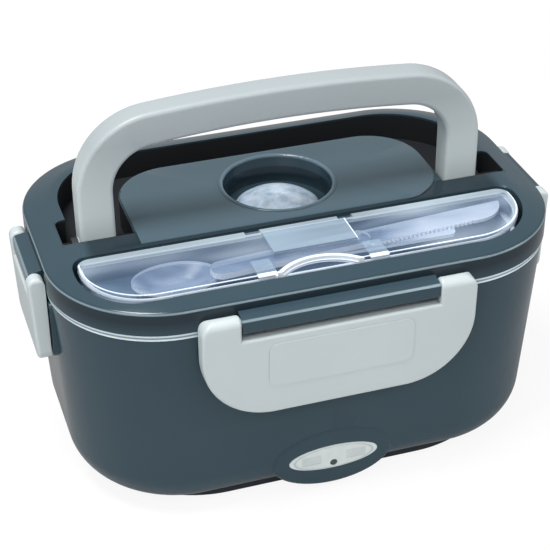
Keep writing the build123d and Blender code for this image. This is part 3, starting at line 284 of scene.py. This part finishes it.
def slate_plastic():
    made = Finish("slate_plastic", IOR=1.4)
    across, along, up = made.split(made.place)
    drift = made.noise(0.06, 2)
    grain = made.noise(0.0006, 1)
    from_vent = reach(across, along - vent_y)
    # Painted highlight: a pale ring on the lip round the steam plug's well.
    lip_highlight = from_vent.above(well_lip, crisp) * from_vent.below(well_lip_out, 0.0006)
    lip_highlight = lip_highlight * up.above(lid_top, crisp)
    groove_shade = painted_groove_shade(across, along, up, from_vent)
    panel = up.above(lid_top + crisp, crisp)
    slate = made.tone(drift * 0.8 + grain * 0.2, rgb(41, 58, 67), rgb(48, 66, 75))
    slate = made.tone(panel, slate, rgb(62, 79, 88))
    # Painted shade on the strip behind the case and on the wall under the shoulder.
    slate = made.tone(painted_shade_places(across, along, up, panel) * 0.85, slate, rgb(24, 35, 42))
    # Painted highlights on the shoulder's foot and on the hinge bars' edges.
    slate = made.tone(painted_edge_highlights(across, along, up) * 0.5, slate, rgb(138, 158, 167))
    slate = made.tone(lip_highlight, slate, rgb(84, 102, 112))
    # Painted shade, nearly black, in the handle's groove and pockets, where the gloss is also
    # rougher.
    made.feed("Base Color", made.tone(groove_shade, slate, rgb(8, 13, 18)))
    handled = made.noise(0.035, 4)
    made.feed("Roughness", handled * 0.12 + grain * 0.04 + groove_shade * 0.55 + 0.09)
    made.bump(made.noise(0.004, 1) * 0.7 + made.noise(0.0009, 1) * 0.3, 0.00002)
    return made.material


# %% Dark matt plastic
def dark_plastic():
    made = Finish("dark_plastic", IOR=1.49)
    grain = made.noise(0.0005, 2)
    made.feed("Base Color", made.tone(made.noise(0.05, 2), rgb(30, 38, 44), rgb(38, 47, 54)))
    made.feed("Roughness", grain * 0.2 + 0.4)
    made.bump(grain, 0.00004)
    return made.material


# %% [markdown]
# Handle and latches are a pale cool grey with a satin skin: a fine even grain in the relief breaks
# the highlight up, and the tone drifts so little that it is felt more than seen. The handle's grip
# is painted darker than the latches, as shade, and its legs grow paler towards their feet. The
# handle turns on two round bosses that stand in the dark of their pockets, so these are painted
# dark as shade.

# %% Grey plastic
handle_low, handle_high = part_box("handle")
handle_middle = (handle_low.x + handle_high.x) / 2
boss_face = (handle_high.x - handle_low.x) / 2 - 0.003      # where the bosses start
leg_foot, leg_fade = 0.122, 0.03                            # heights over which a leg grows pale


def grey_moulding(name, colour, boss=None):
    """Satin plastic, whose colour is made from a pattern, and whose bosses are rougher."""
    made = Finish(name, IOR=1.45)
    drift = made.noise(0.05, 3)
    grain = made.noise(0.0004, 2)
    made.feed("Base Color", colour(made, drift * 0.7 + grain * 0.3))
    satin = drift * 0.1 + grain * 0.1
    made.feed("Roughness", (satin + boss(made) * 0.3 if boss else satin) + 0.3)
    made.bump(grain, 0.00002)
    return made.material


def grey_plastic():
    def colour(made, pattern):
        return made.tone(pattern, rgb(163, 172, 174), rgb(175, 184, 186))

    return grey_moulding("grey_plastic", colour)


def shaded_handle_plastic():
    def boss(made):
        across = made.split(made.place)[0]
        return (across - handle_middle).size().above(boss_face + hair, 0.0002)

    def colour(made, pattern):
        up = made.split(made.place)[2]
        # Painted shade: the grip darker than the latches, paler down the legs, and the bosses
        # nearly black.
        grip = made.tone(pattern, rgb(138, 146, 149), rgb(150, 158, 161))
        legs = made.tone(up.below(leg_foot, leg_fade), grip, rgb(180, 189, 190))
        return made.tone(boss(made), legs, rgb(30, 33, 36))

    return grey_moulding("shaded_handle_plastic", colour, boss)


def shaded_steel():
    """Steel that is only seen in the dark of the handle's pockets."""
    made = Finish("shaded_steel", Metallic=1.0)
    drift = made.noise(0.004, 2)
    made.feed("Base Color", made.tone(drift, rgb(44, 46, 49), rgb(56, 58, 62)))
    made.feed("Roughness", drift * 0.1 + 0.5)
    return made.material


# %% [markdown]
# The seal and the steam plug are cloudy silicone. Thick silicone scatters light inside, so a little
# subsurface stands for that, and slow clouds vary its milkiness.

# %% Milky silicone
def milky_silicone():
    made = Finish("milky_silicone", Subsurface_Weight=0.3, Subsurface_Scale=0.004, IOR=1.43)
    cloud = made.noise(0.007, 4)
    speck = made.noise(0.0022, 2)
    mottle = ((cloud * 0.7 + speck * 0.3 - 0.5) * 3 + 0.5).clamped()
    made.feed("Base Color", made.tone(mottle, rgb(128, 146, 163), rgb(184, 198, 211)))
    made.feed("Roughness", cloud * 0.12 + 0.28)
    made.bump(made.noise(0.002, 2), 0.00003)
    return made.material


def seal_silicone():
    """The same silicone, in a band with painted shade as a darker line half way up, along its
    groove.
    """
    made = Finish("seal_silicone", Subsurface_Weight=0.3, Subsurface_Scale=0.002, IOR=1.43)
    seal_low, seal_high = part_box("seal_ring")
    up = made.split(made.place)[2]
    line = up.near((seal_low.z + seal_high.z) / 2, 0.0002, 0.0004)
    cloud = made.noise(0.012, 3)
    pattern = line * 0.8 + cloud * 0.2
    made.feed("Base Color", made.tone(pattern, rgb(205, 218, 226), rgb(96, 112, 122)))
    made.feed("Roughness", cloud * 0.1 + 0.25)
    return made.material


def black_rubber():
    made = Finish("black_rubber")
    grain = made.noise(0.0006, 3)
    made.feed("Base Color", made.tone(grain, rgb(24, 24, 25), rgb(36, 36, 37)))
    made.feed("Roughness", grain * 0.2 + 0.6)
    made.bump(grain, 0.00005)
    return made.material


# %% [markdown]
# The cutlery case is clear polystyrene. Its flat walls let the eye through and only add a bluish
# veil, while its rims, which are seen edge on and gather light from the whole wall, look white;
# that white is a painted highlight. So the opacity of its base and of its lid is drawn from the
# place on
# the case: low on the walls, high along the rims, and frosted on the finger grip and the two clips.
# The lid also has a pale band along its back, and one round its right end only, which is a painted
# highlight.

# %% Places on the cutlery case, in metres
case_low, case_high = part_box("case_lid")
case_middle = (case_low.x + case_high.x) / 2
case_half = (case_high.x - case_low.x) / 2
case_corner = 0.027
front_core = case_high.y - 0.0079                 # y of the centres of the front corners
case_split = 0.1086                               # height where the case's lid meets its base
scoop_x, scoop_y, scoop_radius = -0.0039, -0.0774, 0.0232     # the thumb's bite out of the front
grip_x, grip_y = -0.0011, -0.0385                 # middle of the finger grip
grip_half_x, grip_half_y = 0.0179, 0.008
grip_end, grip_end_front, grip_end_back = 0.01705, -0.0468, -0.0302
clip_middle, clip_apart, clip_half, clip_back = -0.0026, 0.0237, 0.004, -0.0498


# %% Clear plastic
def case_distance(across, along):
    """Distance from the middle stretch of the case towards its front and its ends."""
    beyond = ((across - case_middle).size() - (case_half - case_corner)).at_least(0.0)
    past = (front_core - along).at_least(0.0)
    return (beyond * beyond + past * past).root()


def clear_moulding(name, rim, band=None, frosted=None):
    """Clear plastic with masks from 0 to 1: a painted highlight on its rim, a pale band, frosted
    places.
    """
    made = Finish(name, IOR=1.5)
    place = made.split(made.place)
    rim_highlight = rim(*place)
    drift = made.noise(0.02, 1, (0.3, 1, 1))
    veil = ((drift - 0.48) * 5).clamped()
    facing = made.node("ShaderNodeLayerWeight", {}, {"Blend": 0.35})
    edge_on = Number(made.tree, facing.outputs["Facing"])
    opacity = edge_on * 0.15 + veil * 0.22 + 0.04 + rim_highlight * 0.8
    gloss = drift * 0.05 + 0.04
    colour = made.tone(veil, rgb(128, 156, 192), rgb(196, 210, 225))
    if band:
        band_mask = band(*place)
        opacity = opacity + band_mask * 0.36
        colour = made.tone(band_mask, colour, rgb(172, 187, 197))
    if frosted:
        frost_mask = frosted(*place)
        opacity = opacity + frost_mask * 0.5
        gloss = gloss + frost_mask * 0.25
        colour = made.tone(frost_mask.clamped(), colour, rgb(142, 162, 179))
    made.feed("Alpha", opacity.clamped())
    made.feed("Base Color", made.tone(rim_highlight.clamped(), colour, rgb(218, 226, 233)))
    made.feed("Roughness", gloss)
    made.bump(made.noise(0.006, 1), 0.00002)
    return made.material


def case_lid_plastic():
    rim_width, rim_depth, foot_width, foot_height = 0.0011, 0.0012, 0.0003, 0.0006
    bite_inside, bite_outside = 0.0006, 0.0015      # the white line round the scoop
    band_width, edge_width, end_width, end_length = 0.0052, 0.0012, 0.0032, 0.022
    face_depth = 0.0018                             # grip and clips are frosted down to here

    # Painted highlights: the rim, the foot, the line round the scoop and the line at the grip's
    # right end.
    def rim(across, along, up):
        out = case_distance(across, along)
        outline = out.above(case_corner - rim_width, 0.0002)
        outline = outline * up.above(case_high.z - rim_depth, crisp)
        foot = out.above(case_corner - foot_width, hair) * up.below(case_split + foot_height, crisp)
        scoop = reach(across - scoop_x, along - scoop_y)
        bite = scoop.above(scoop_radius - bite_inside, 0.0002)
        bite = bite * scoop.below(scoop_radius + bite_outside, 0.0004)
        end = across.near(grip_end, crisp, 0.0002) * up.above(case_high.z - face_depth, crisp)
        end = end * along.between(grip_end_front, grip_end_back, hair)
        return (outline + foot * 0.8 + bite + end).clamped()

    def band(across, along, up):
        back = along.above(case_high.y - band_width, 0.0006)
        edge = along.above(case_high.y - edge_width, crisp)
        # At the right end only, the pale band is a painted highlight.
        end = case_distance(across, along).above(case_corner - end_width, 0.0012)
        right = across.above(case_middle + case_half - end_length, 0.02)
        return (back + edge * 0.4 + right * end).clamped()

    def frosted(across, along, up):
        grip = reach(across - grip_x, along - grip_y, grip_half_x, grip_half_y).below(crisp, hair)
        clips = (across - clip_middle).size().near(clip_apart, clip_half, 0.0002)
        clips = clips * along.below(clip_back, 0.0002)
        return (grip + clips * 0.8) * up.above(case_high.z - face_depth, crisp)

    return clear_moulding("case_lid_plastic", rim, band, frosted)


def clear_plastic():
    base_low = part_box("cutlery_case")[0]
    rim_width, rim_depth, floor_edge = 0.0024, 0.0006, 0.0012

    # Painted highlights along the top rim of the base and along the edge of its floor.
    def rim(across, along, up):
        outline = case_distance(across, along).above(case_corner - rim_width, crisp)
        level = up.above(case_split - rim_depth, 0.0004) + up.below(base_low.z + floor_edge, 0.0006)
        return outline * level.clamped() * 0.9

    return clear_moulding("clear_plastic", rim)


# %% [markdown]
# The spoon and the knife are translucent white polypropylene, thin enough that light comes through
# their flat faces, while their edges stay white. Faint flow marks tell of a quick moulding.

# %% Milky plastic
blade_start, blade_fade = 0.03, 0.02      # where the knife's handle turns into its blade
level_face, level_fade = 0.55, 0.15       # how far up or down a flat face's normal points


def milky_plastic():
    made = Finish("milky_plastic", IOR=1.49)
    across = made.split(made.place)[0]
    drift = made.noise(0.012, 2, (0.4, 1, 1))
    cloud = ((drift - 0.4) * 3).clamped()
    flat = made.split(made.normal)[2].size().above(level_face, level_fade)
    blade = across.above(blade_start, blade_fade)
    clear = flat * (1 - cloud * 0.45) * (1 - blade * 0.6)
    made.feed("Alpha", (1 - clear * 0.78).clamped())
    made.feed("Base Color", made.tone(clear, rgb(214, 222, 232), rgb(120, 142, 172)))
    made.feed("Roughness", drift * 0.1 + 0.2)
    made.bump(made.noise(0.003, 2), 0.00002)
    return made.material


def indicator_plastic():
    """Pale plastic with a fine dark line inside its rim and a few shallow bars of relief."""
    made = Finish("indicator_plastic", IOR=1.49)
    plate_low, plate_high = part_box("indicator_plate")
    middle = (plate_low + plate_high) / 2
    half = (plate_high - plate_low) / 2
    across, along, up = made.split(made.place)
    wide = (across - middle.x) * (1 / half.x)       # both run from -1 to 1 over the plate
    tall = (up - middle.z) * (1 / half.z)
    line = reach(wide, tall).between(0.84, 0.89, 0.03)
    bars = wide.size().near(0.5, 0.2, 0.03) * tall.size().below(0.32, 0.08)
    drift = made.noise(0.004, 2)
    pale = made.tone(drift, rgb(178, 187, 187), rgb(196, 203, 203))
    made.feed("Base Color", made.tone(line * 0.5 + bars * 0.22, pale, rgb(120, 130, 132)))
    made.feed("Roughness", drift * 0.1 + 0.2)
    made.bump(bars, 0.0002)
    return made.material


def smoked_lens():
    made = Finish("smoked_lens", Transmission_Weight=0.4, IOR=1.49)
    drift = made.noise(0.001, 2)
    made.feed("Base Color", made.tone(drift, rgb(66, 74, 72), rgb(84, 92, 90)))
    made.feed("Roughness", drift * 0.1 + 0.1)
    return made.material


# %% [markdown]
# What is inside shows when the box is open. Metals get fine brush lines, which are noise drawn out
# along one direction, and the leads' insulation is a plain glossy skin.

# %% Metals, insulation and the board
every_way, lengthways, crossways = (1, 1, 1), (0.02, 1, 1), (1, 0.03, 1)


def brushed(name, dark, light, low, high, size=0.0004, stretch=lengthways):
    """Metal whose roughness runs from low to high over its brush lines."""
    made = Finish(name, Metallic=1.0)
    lines = made.noise(size, 3, stretch)
    drift = made.noise(0.03, 2)
    made.feed("Base Color", made.tone(drift * 0.5 + lines * 0.5, dark, light))
    made.feed("Roughness", lines * (high - low) + low)
    made.bump(lines, 0.000015)
    return made.material


def stainless_steel():
    return brushed("stainless_steel", rgb(186, 187, 190), rgb(210, 211, 213), 0.2, 0.36)


def zinc_steel():
    return brushed("zinc_steel", rgb(170, 174, 180), rgb(200, 202, 206), 0.25, 0.4, 0.001,
                   every_way)


def aluminium_plate():
    return brushed("aluminium_plate", rgb(200, 202, 204), rgb(222, 223, 224), 0.3, 0.45, 0.0005,
                   crossways)


def nickel_brass():
    return brushed("nickel_brass", rgb(200, 192, 170), rgb(220, 213, 192), 0.2, 0.3, 0.0006,
                   (1, 0.1, 1))


def insulation(name, dark, light):
    made = Finish(name, IOR=1.5)
    drift = made.noise(0.008, 2)
    made.feed("Base Color", made.tone(drift, dark, light))
    made.feed("Roughness", drift * 0.15 + 0.3)
    return made.material


def red_insulation():
    return insulation("red_insulation", rgb(150, 22, 20), rgb(176, 30, 26))


def white_insulation():
    return insulation("white_insulation", rgb(214, 214, 208), rgb(232, 232, 227))


def cutoff_body():
    return insulation("cutoff_body", rgb(214, 212, 202), rgb(230, 228, 220))


def board_green():
    made = Finish("board_green", IOR=1.5)
    tracks = made.noise(0.0012, 0)
    copper = (tracks * 8 - 3.8).clamped()
    made.feed("Base Color", made.tone(copper, rgb(22, 92, 50), rgb(40, 122, 70)))
    made.feed("Roughness", tracks * 0.2 + 0.25)
    return made.material


finishes = {make.__name__: make() for make in (
    slate_plastic, dark_plastic, grey_plastic, shaded_handle_plastic, shaded_steel, milky_silicone,
    seal_silicone, black_rubber, clear_plastic, case_lid_plastic, milky_plastic, indicator_plastic,
    smoked_lens, stainless_steel, zinc_steel, aluminium_plate, nickel_brass, red_insulation,
    white_insulation, board_green, cutoff_body)}
print(len(finishes), "finishes")

# %% [markdown]
# The construction arrives as loose triangles, so its curved walls would look faceted. A copy of
# each piece is merged into one skin and shaded smooth between its sharp edges. The lid, the handle
# and the latches also get a small rounding, because an edge that catches no light at all looks
# drawn, not moulded.

# %% Smooth copies of the construction
sharp = math.radians(32)
same_point = 0.000004
own_finish = {"handle": "shaded_handle_plastic", "handle_pins": "shaded_steel",
              "seal_ring": "seal_silicone", "case_lid": "case_lid_plastic"}
roundings = {"lid_shell": 0.0004, "handle": 0.0005, "latch_front": 0.0004, "latch_back": 0.0004,
             "latch_left": 0.0004, "latch_right": 0.0004}


def skin(node, rounding):
    """A merged and smoothed copy of a piece, with its sharp edges rounded."""
    shape = bmesh.new()
    shape.from_mesh(frame["nodes"][node].data)
    bmesh.ops.remove_doubles(shape, verts=shape.verts, dist=same_point)
    bmesh.ops.dissolve_degenerate(shape, edges=shape.edges, dist=same_point)
    for face in shape.faces:
        face.smooth = True
        face.material_index = 0
    for edge in shape.edges:
        edge.smooth = not (edge.is_manifold and edge.calc_face_angle(0.0) > sharp)
    mesh = bpy.data.meshes.new(node + "_skin")
    shape.to_mesh(mesh)
    shape.free()
    piece = bpy.data.objects.new(node + "_skin", mesh)
    bpy.context.scene.collection.objects.link(piece)
    piece.data.materials.append(finishes[own_finish.get(node, slot_of[node])])
    if rounding:
        bevel = piece.modifiers.new("rounding", "BEVEL")
        bevel.width = rounding
        bevel.segments = 2
        bevel.limit_method = "ANGLE"
        bevel.angle_limit = sharp
        bevel.harden_normals = True
    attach(piece, body_of[node])
    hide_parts(node)


for node in frame["nodes"]:
    skin(node, roundings.get(node, 0))

# %% [markdown]
# A white table and a bright room. The lamps light the box at a plain level. The white behind it
# comes from the floor and the world themselves, for rays that look or pass through, while a ray
# that is mirrored meets a dim floor, so that the glossy walls stay dark.

# %% Floor, world and lamps
floor_glow, mirrored_glow = 0.9, 0.25
room_light, seen_light = 0.45, 1.0


def light_paths(tree, *names):
    """For each kind of ray, 1 where a ray is of that kind and 0 where it isn't."""
    paths = tree.nodes.new("ShaderNodeLightPath")
    return [Number(tree, paths.outputs[f"Is {name} Ray"]) for name in names]


floor_shape = bmesh.new()
bmesh.ops.create_grid(floor_shape, x_segments=1, y_segments=1, size=4.0)
floor_mesh = bpy.data.meshes.new("floor")
floor_shape.to_mesh(floor_mesh)
floor_shape.free()
floor = bpy.data.objects.new("floor", floor_mesh)
bpy.context.scene.collection.objects.link(floor)
white = Finish("white_floor", Base_Color=(0.8, 0.8, 0.8, 1), Roughness=0.6)
seen, mirrored, through = light_paths(white.tree, "Camera", "Glossy", "Transmission")
surface = white.shader.outputs[0]
for mask, strength in ((((seen + through) * floor_glow).clamped(), 1.0),
                       (mirrored * 0.8, mirrored_glow)):
    glow = white.node("ShaderNodeEmission", {}, {"Color": (1, 1, 1, 1), "Strength": strength})
    surface = white.node("ShaderNodeMixShader", {}, {0: mask, 1: surface,
                                                     2: glow.outputs[0]}).outputs[0]
white.tree.links.new(surface, white.tree.nodes["Material Output"].inputs[0])
floor.data.materials.append(white.material)

world = bpy.data.worlds.new("bright_room")
world.use_nodes = True
bpy.context.scene.world = world
sky = world.node_tree.nodes["Background"]
looks, passes = light_paths(world.node_tree, "Camera", "Transmission")
level = (looks + passes).clamped() * (seen_light - room_light) + room_light
fill(world.node_tree, sky.inputs["Color"], (1, 1, 1, 1))
fill(world.node_tree, sky.inputs["Strength"], level)


def lamp(name, place, aim, size, power):
    """A rectangular lamp at a place, turned towards a point, with its power in watts."""
    light = bpy.data.lights.new(name, "AREA")
    light.shape = "RECTANGLE"
    light.size, light.size_y = size
    light.energy = power
    made = bpy.data.objects.new(name, light)
    made.location = place
    made.rotation_euler = (Vector(aim) - Vector(place)).to_track_quat("-Z", "Y").to_euler()
    bpy.context.scene.collection.objects.link(made)


box_middle, front_edge = (0, 0, 0.08), (0, -0.05, 0.1)
lamp("key", (-0.9, -0.9, 1.3), box_middle, (0.8, 0.6), 10)
lamp("top", (-0.35, -0.12, 1.35), box_middle, (0.5, 0.4), 21)
lamp("line", (0.4, -0.9, 1.08), front_edge, (0.7, 0.06), 3)
lamp("side", (1.3, -0.6, 0.7), box_middle, (0.5, 0.9), 5)
